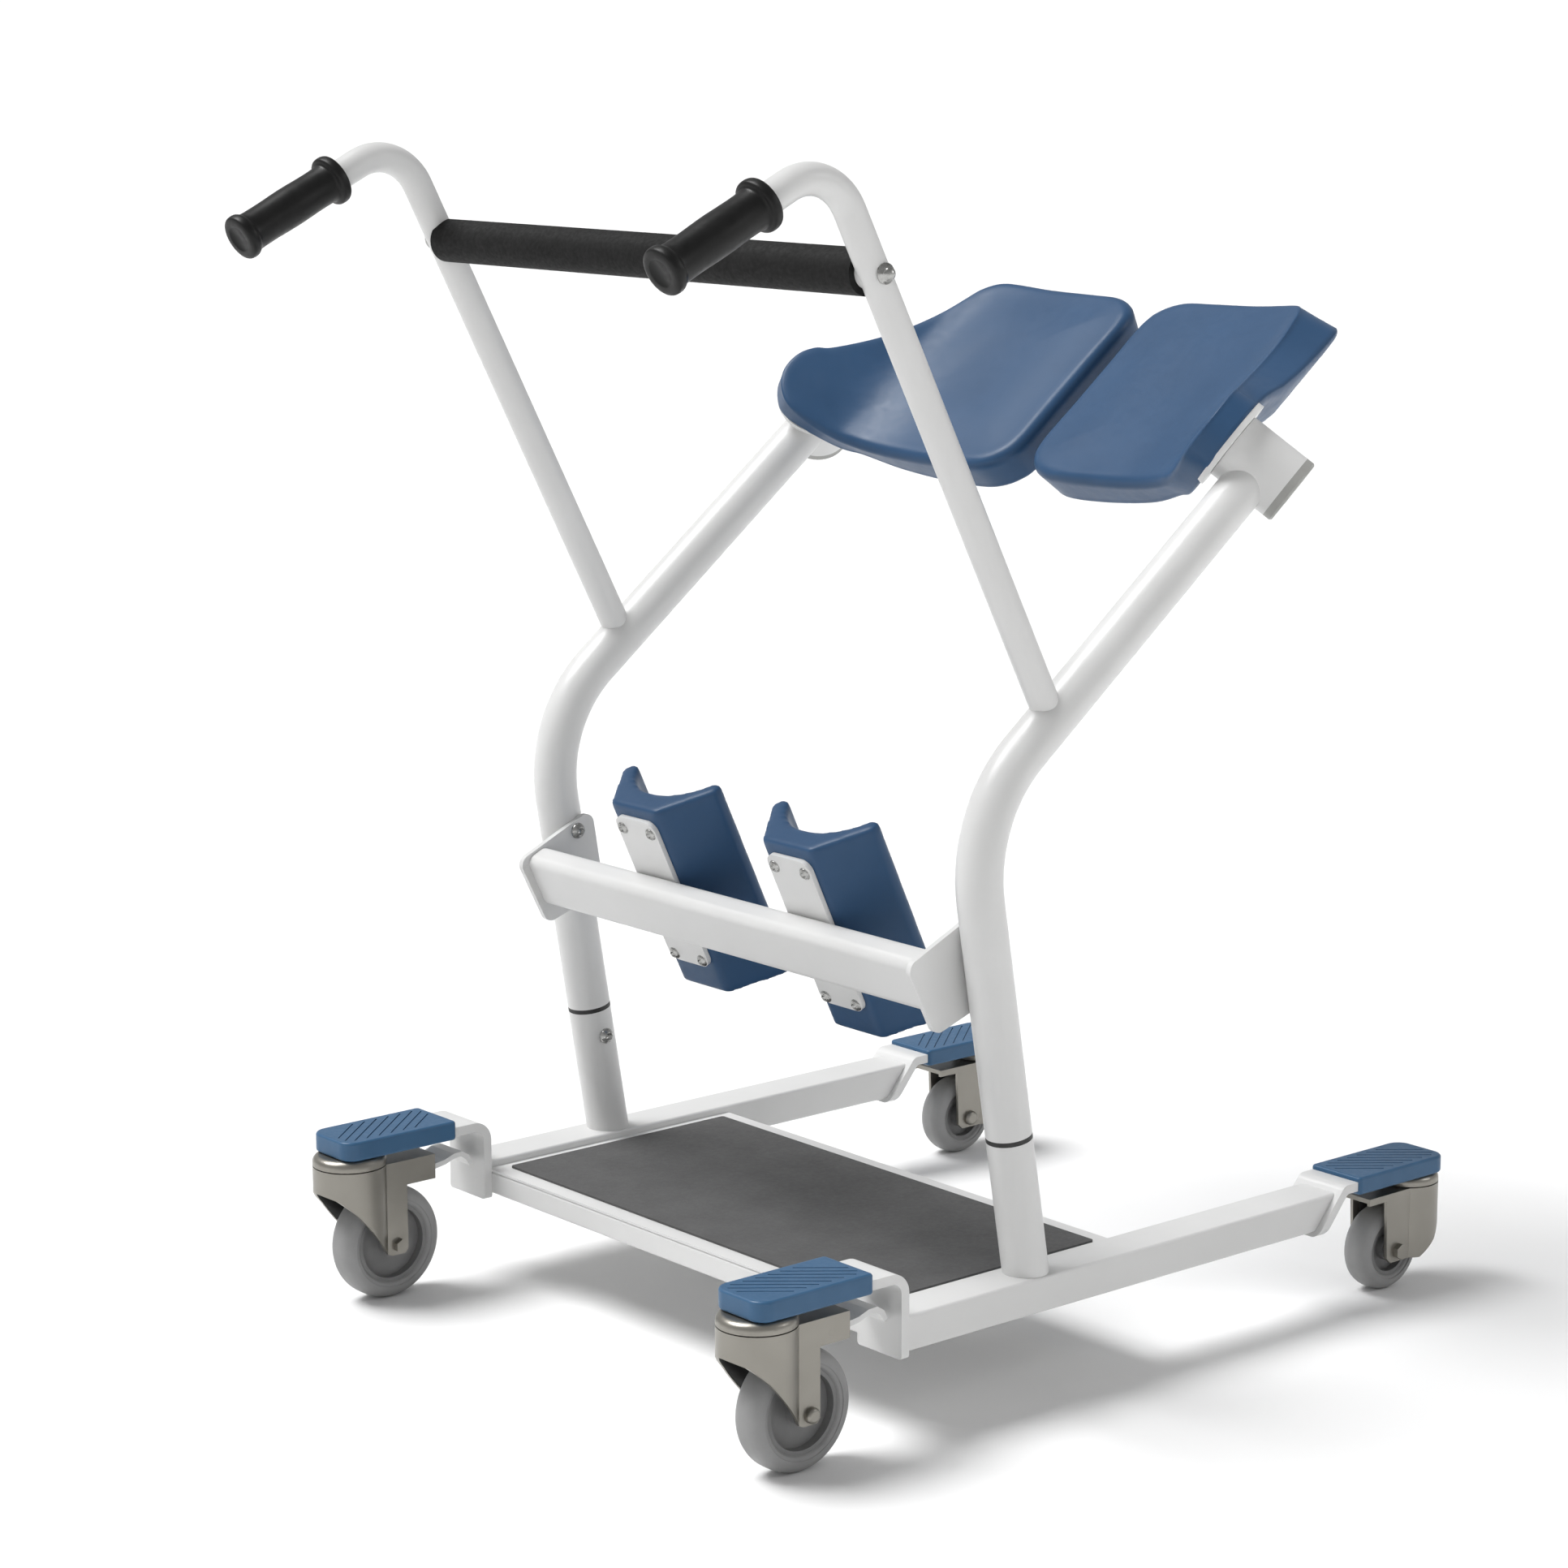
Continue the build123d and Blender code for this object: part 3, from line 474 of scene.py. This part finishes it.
# Turned pieces ----------------------------------------------------------------
def turned(name, profile, centre, axis, segments=96):
    """Mesh turned round an axis from (radius, along) points. A point at radius 0 closes the end,
    and a third number draws that ring as a polygon with that many sides."""
    work = bmesh.new()
    turn = Vector(axis).to_track_quat("Z", "Y").to_matrix().to_4x4()
    place = Matrix.Translation(centre) @ turn
    rings = []
    for radius, along, *sides in profile:
        if radius < 1e-6:
            rings.append([work.verts.new(place @ Vector((0, 0, along)))])
            continue
        ring = []
        for i in range(segments):
            angle = 2 * math.pi * i / segments
            reach = radius
            if sides:
                half = math.pi / sides[0]
                reach = radius * math.cos(half) / math.cos(angle % (2 * half) - half)
            spot = Vector((reach * math.cos(angle), reach * math.sin(angle), along))
            ring.append(work.verts.new(place @ spot))
        rings.append(ring)
    for a, b in zip(rings, rings[1:]):
        for i in range(segments):
            j = (i + 1) % segments
            if len(a) == 1 and len(b) > 1:
                work.faces.new((a[0], b[j], b[i]))
            elif len(b) == 1 and len(a) > 1:
                work.faces.new((a[i], a[j], b[0]))
            elif len(a) > 1:
                work.faces.new((a[i], a[j], b[j], b[i]))
    bmesh.ops.remove_doubles(work, verts=work.verts, dist=1e-7)
    return finished(work, name)


# Tyres
def tyre_profile(radius, bore, half):
    """Closed section of a solid tyre: flat tread, full shoulders and a stepped side wall."""
    outside = [
        (bore, half - 0.0030), (bore + 0.0015, half - 0.0012), (bore + 0.0040, half - 0.0006),
        (radius - 0.0105, half), (radius - 0.0060, half - 0.0010), (radius - 0.0022, half - 0.0040),
        (radius - 0.0004, half - 0.0080), (radius, half * 0.25),
    ]
    top = line_through(outside, 5)
    return top + [Vector((p.x, -p.y)) for p in reversed(top)] + [top[0]]


for end in ("front", "back"):
    for side in SIDES:
        tyre = f"{end}_tyre_{side}"
        centre, size = middle_of(tyre)
        bore = middle_of(f"{end}_hub_{side}")[1].z / 2
        mesh = turned(tyre, tyre_profile(size.z / 2, bore, size.x / 2), centre, (1, 0, 0))
        piece = new_piece(f"{end}_wheel_tread_{side}", mesh, "tyre_grey", f"{end}_wheel_{side}")
        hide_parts(tyre)


# Screws, bolts and nuts
def islands(mesh):
    """The corners of each separate solid in a mesh."""
    work = bmesh.new()
    work.from_mesh(mesh)
    bmesh.ops.remove_doubles(work, verts=work.verts, dist=1e-5)
    left = set(work.verts)
    found = []
    while left:
        island, queue = [], [left.pop()]
        while queue:
            vert = queue.pop()
            island.append(vert.co.copy())
            for edge in vert.link_edges:
                other = edge.other_vert(vert)
                if other in left:
                    left.remove(other)
                    queue.append(other)
        found.append(island)
    work.free()
    return found


def tips(node, facing):
    """For each solid of a node, the middle of its outer end and the way that it faces."""
    ends = []
    for island in islands(nodes[node].data):
        out = Vector(facing(island[0].x)).normalized()
        low = Vector([min(p[k] for p in island) for k in range(3)])
        high = Vector([max(p[k] for p in island) for k in range(3)])
        centre = (low + high) / 2
        far = max(p.dot(out) for p in island)
        ends.append((centre + out * (far - centre.dot(out)), out))
    return sorted(ends, key=lambda end: tuple(end[0]))


def button_head(radius, height):
    """Low dome with a six sided socket, from the socket's floor out and down, tip at zero."""
    lip = 0.0001
    socket = radius * 0.48
    floor_at = -height * 0.62
    dome = []
    for angle in (0.62, 0.85, 1.1, 1.35, 1.5707):
        dome.append((radius * math.sin(angle), -height * (1 - math.cos(angle)) - lip))
    return [
        (0, floor_at), (socket * 0.96, floor_at, 6), (socket, -4 * lip, 6), (socket * 1.08, -lip),
        *dome,
        (radius, -height), (0, -height),
    ]


def cap_nut(radius, height):
    """Domed nut on a washer, tip at zero."""
    dome = []
    for angle in (0.3, 0.6, 0.9, 1.2, 1.5707):
        dome.append((radius * 0.80 * math.sin(angle), -height * 0.5 * (1 - math.cos(angle))))
    return [
        (0, 0),
        *dome,
        (radius * 0.84, -height * 0.54), (radius, -height * 0.56, 6), (radius, -height * 0.86, 6),
        (radius * 1.22, -height * 0.87), (radius * 1.24, -height), (0, -height),
    ]


KNEE_TILT = math.radians(25.0)


def out_of_strap(x):
    return (0, -math.cos(KNEE_TILT), -math.sin(KNEE_TILT))


def towards_middle(x):
    return (-1 if x > 0 else 1, 0, 0)


def towards_outside(x):
    return (1 if x > 0 else -1, 0, 0)


fasteners = (
    ("knee_pad_screws", out_of_strap, button_head(0.0056, 0.0030), "knee_screw"),
    ("leg_bolts", towards_middle, button_head(0.0071, 0.0050), "leg_bolt"),
    ("knee_bar_bolts", towards_middle, button_head(0.0071, 0.0050), "knee_bar_bolt"),
    ("crossbar_bolts", towards_outside, cap_nut(0.0066, 0.0085), "crossbar_nut"),
)
for node, facing, profile, name in fasteners:
    for number, (tip, out) in enumerate(tips(node, facing), 1):
        label = f"{name}_{number}"
        piece = new_piece(label, turned(label, profile, tip, out, 48), "bolt_zinc", "frame")
        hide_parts(node)

# Grips
GRIP_LENGTH = 0.1060
TUBE_BORE = 0.0126
PLUG = 0.0045
END_DISC = [(0, 0.0010), (0.0104, 0.0010), (0.0110, 0.0002), (0.0118, 0.0)]
GRIP_SIDE = [
    (0.0155, 0.0), (0.0180, 0.0009), (0.0190, 0.0030), (0.0190, 0.0068), (0.0180, 0.0090),
    (0.0167, 0.0108), (0.0162, 0.0150), (0.0160, 0.0300), (0.0165, 0.0550), (0.0160, 0.0800),
    (0.0163, 0.0925), (0.0172, 0.0958), (0.0198, 0.0972), (0.0210, 0.0990), (0.0210, 0.1030),
    (0.0200, 0.1054), (0.0175, GRIP_LENGTH),
]
GRIP_RUN = Vector((0, 156.8, 76.9)).normalized()
grip_profile = [
    *END_DISC,
    *(tuple(p) for p in line_through(GRIP_SIDE, 4)),
    (TUBE_BORE, GRIP_LENGTH), (TUBE_BORE, PLUG), (0, PLUG),
]


def outer_end(node, run):
    """The middle of a slanted piece's outer end, from how far it reaches along and across its run."""
    across = Vector((0, -run.z, run.y))
    points = [v.co for v in nodes[node].data.vertices]
    start = min(p.dot(run) for p in points)
    level = (min(p.dot(across) for p in points) + max(p.dot(across) for p in points)) / 2
    return run * start + across * level + Vector((middle_of(node)[0].x, 0, 0))


for side in SIDES:
    name = "rubber_grip_" + side
    end = outer_end("grip_" + side, GRIP_RUN)
    piece = new_piece(name, turned(name, grip_profile, end, GRIP_RUN), "grip_black", "frame")
    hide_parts("grip_" + side)


# Black sheet inside each fork, painted shade on its inner faces --------------------
# Metres, from the swivel: the painted shade sheet's radius and half width, how far it reaches to the open
# side of the fork, its top, and the fork's lower edge as (towards the open side, height). The back forks
# face the other way.
SHADE_SHEET_LIFT = 0.0012
SHADE_SHEET_THICKNESS = 0.0005
BEND_STEPS = 28
HEIGHT_STEPS = 4
FRONT_SHADE_SHEET = {
    "facing": 1,
    "inside": 0.0286,
    "half": 0.0190,
    "reach": 0.040,
    "top": 0.1205,
    "edge": [
        (-0.033, 0.104), (-0.025, 0.100), (-0.011, 0.086), (0.005, 0.066), (0.0225, 0.044), (0.041, 0.042),
    ],
}
BACK_SHADE_SHEET = {
    "facing": -1,
    "inside": 0.0246,
    "half": 0.0176,
    "reach": 0.040,
    "top": 0.0872,
    "edge": [(-0.029, 0.076), (-0.023, 0.062), (-0.008, 0.042), (0.010, 0.0285), (0.042, 0.0285)],
}


def shade_sheet_path(inside, half, reach):
    """Seen from above: along one cheek of the fork, round its closed end and back along the other."""
    corner = math.sqrt(inside * inside - half * half)
    spread = math.asin(half / inside)
    cheek = [(half, reach), (half, (reach + corner) / 2), (half, corner)]
    bend = []
    for i in range(1, BEND_STEPS):
        angle = spread + (2 * math.pi - 2 * spread) * i / BEND_STEPS
        bend.append((inside * math.sin(angle), inside * math.cos(angle)))
    return cheek + bend + [(-x, y) for x, y in reversed(cheek)]


def shade_sheet_mesh(name, swivel, facing, inside, half, reach, top, edge):
    """Thin black sheet against the inside of a fork, ending just above the fork's lower edge: painted shade
    inside the fork.
    """
    ys = [p[0] for p in edge]
    zs = [p[1] for p in edge]
    work = bmesh.new()
    rows = []
    for x, y in shade_sheet_path(inside, half, reach):
        low = float(np.interp(y, ys, zs)) + SHADE_SHEET_LIFT
        rows.append([
            work.verts.new(swivel + Vector((facing * x, facing * y, low + (top - low) * k / HEIGHT_STEPS)))
            for k in range(HEIGHT_STEPS + 1)
        ])
    for a, b in zip(rows, rows[1:]):
        for k in range(HEIGHT_STEPS):
            work.faces.new((a[k], b[k], b[k + 1], a[k + 1]))
    return finished(work, name)


# Each fork gets a thin black sheet on its inner faces. This is painted shade standing in for the shade
# inside the fork, not a part of the caster.
for end, shade_sheet in (("front", FRONT_SHADE_SHEET), ("back", BACK_SHADE_SHEET)):
    for side in SIDES:
        swivel = Vector(joints[f"{end}_swivel_{side}"]["pos_m"])
        swivel.z = 0
        name = f"{end}_fork_guard_{side}"
        piece = new_piece(name, shade_sheet_mesh(name, swivel, **shade_sheet), "ring_black", f"{end}_fork_{side}")
        thick = piece.modifiers.new("thickness", "SOLIDIFY")
        thick.thickness = SHADE_SHEET_THICKNESS
        thick.offset = 0


# Floor ------------------------------------------------------------------------
FLOOR_RADIUS = 40
work = bmesh.new()
bmesh.ops.create_circle(work, cap_ends=True, radius=FLOOR_RADIUS, segments=96)
floor_mesh = bpy.data.meshes.new("floor")
work.to_mesh(floor_mesh)
work.free()
floor = bpy.data.objects.new("floor", floor_mesh)
floor_mesh.materials.append(Shader("floor", 0.8).set(Base_Color=(0.9, 0.9, 0.9, 1)).material)
scene.collection.objects.link(floor)

# Light ------------------------------------------------------------------------
AROUND = (0.54, 0.54, 0.54, 1)
ABOVE = (0.28, 0.28, 0.28, 1)
BACKDROP = (1.05, 1.05, 1.05, 1)


def studio_world():
    """Soft light from all round, dimmer overhead, behind an even white backdrop."""
    world = bpy.data.worlds.new("studio")
    world.use_nodes = True
    web = world.node_tree
    lit = web.nodes["Background"]
    coordinate = web.nodes.new("ShaderNodeTexCoord")
    split = web.nodes.new("ShaderNodeSeparateXYZ")
    fade = web.nodes.new("ShaderNodeValToRGB")
    low, high = fade.color_ramp.elements
    low.position = 0.0
    low.color = AROUND
    high.position = 0.95
    high.color = ABOVE
    web.links.new(coordinate.outputs["Generated"], split.inputs["Vector"])
    web.links.new(split.outputs["Z"], fade.inputs["Fac"])
    web.links.new(fade.outputs["Color"], lit.inputs["Color"])
    backdrop = web.nodes.new("ShaderNodeBackground")
    backdrop.inputs["Color"].default_value = BACKDROP
    path = web.nodes.new("ShaderNodeLightPath")
    both = web.nodes.new("ShaderNodeMixShader")
    web.links.new(path.outputs["Is Camera Ray"], both.inputs["Fac"])
    web.links.new(lit.outputs["Background"], both.inputs[1])
    web.links.new(backdrop.outputs["Background"], both.inputs[2])
    web.links.new(both.outputs["Shader"], web.nodes["World Output"].inputs["Surface"])
    return world


def lamp(name, kind, towards):
    light = bpy.data.objects.new(name, bpy.data.lights.new(name, kind))
    light.rotation_mode = "QUATERNION"
    light.rotation_quaternion = towards.to_track_quat("-Z", "Y")
    scene.collection.objects.link(light)
    return light


scene.world = studio_world()

sun = lamp("sun", "SUN", Vector((0.42, 0.36, -1)))
sun.data.energy = 3.3
sun.data.angle = math.radians(32)

RIM_PLACE = Vector((2.6, 2.2, 2.2))
rim = lamp("rim", "AREA", (cad_box[0] + cad_box[1]) / 2 - RIM_PLACE)
rim.location = RIM_PLACE
rim.data.shape = "DISK"
rim.data.size = 1.2
rim.data.energy = 14

# Camera -----------------------------------------------------------------------
AZIMUTH, ELEVATION, ROLL = math.radians(49.87), math.radians(11.27), math.radians(-0.13)
DISTANCE = 3.2962
TARGET = Vector((-0.00995, -0.07136, 0.46483))
camera = bpy.data.objects.new("camera", bpy.data.cameras.new("camera"))
camera.data.sensor_width = 36.0
camera.data.lens = 90.15
back = Vector((
    math.sin(AZIMUTH) * math.cos(ELEVATION),
    -math.cos(AZIMUTH) * math.cos(ELEVATION),
    math.sin(ELEVATION),
))
camera.location = TARGET + back * DISTANCE
camera.rotation_mode = "QUATERNION"
camera.rotation_quaternion = (-back).to_track_quat("-Z", "Y") @ Quaternion((0, 0, 1), ROLL)
scene.collection.objects.link(camera)
scene.camera = camera
scene.view_settings.view_transform = "Standard"
scene.view_settings.look = "None"
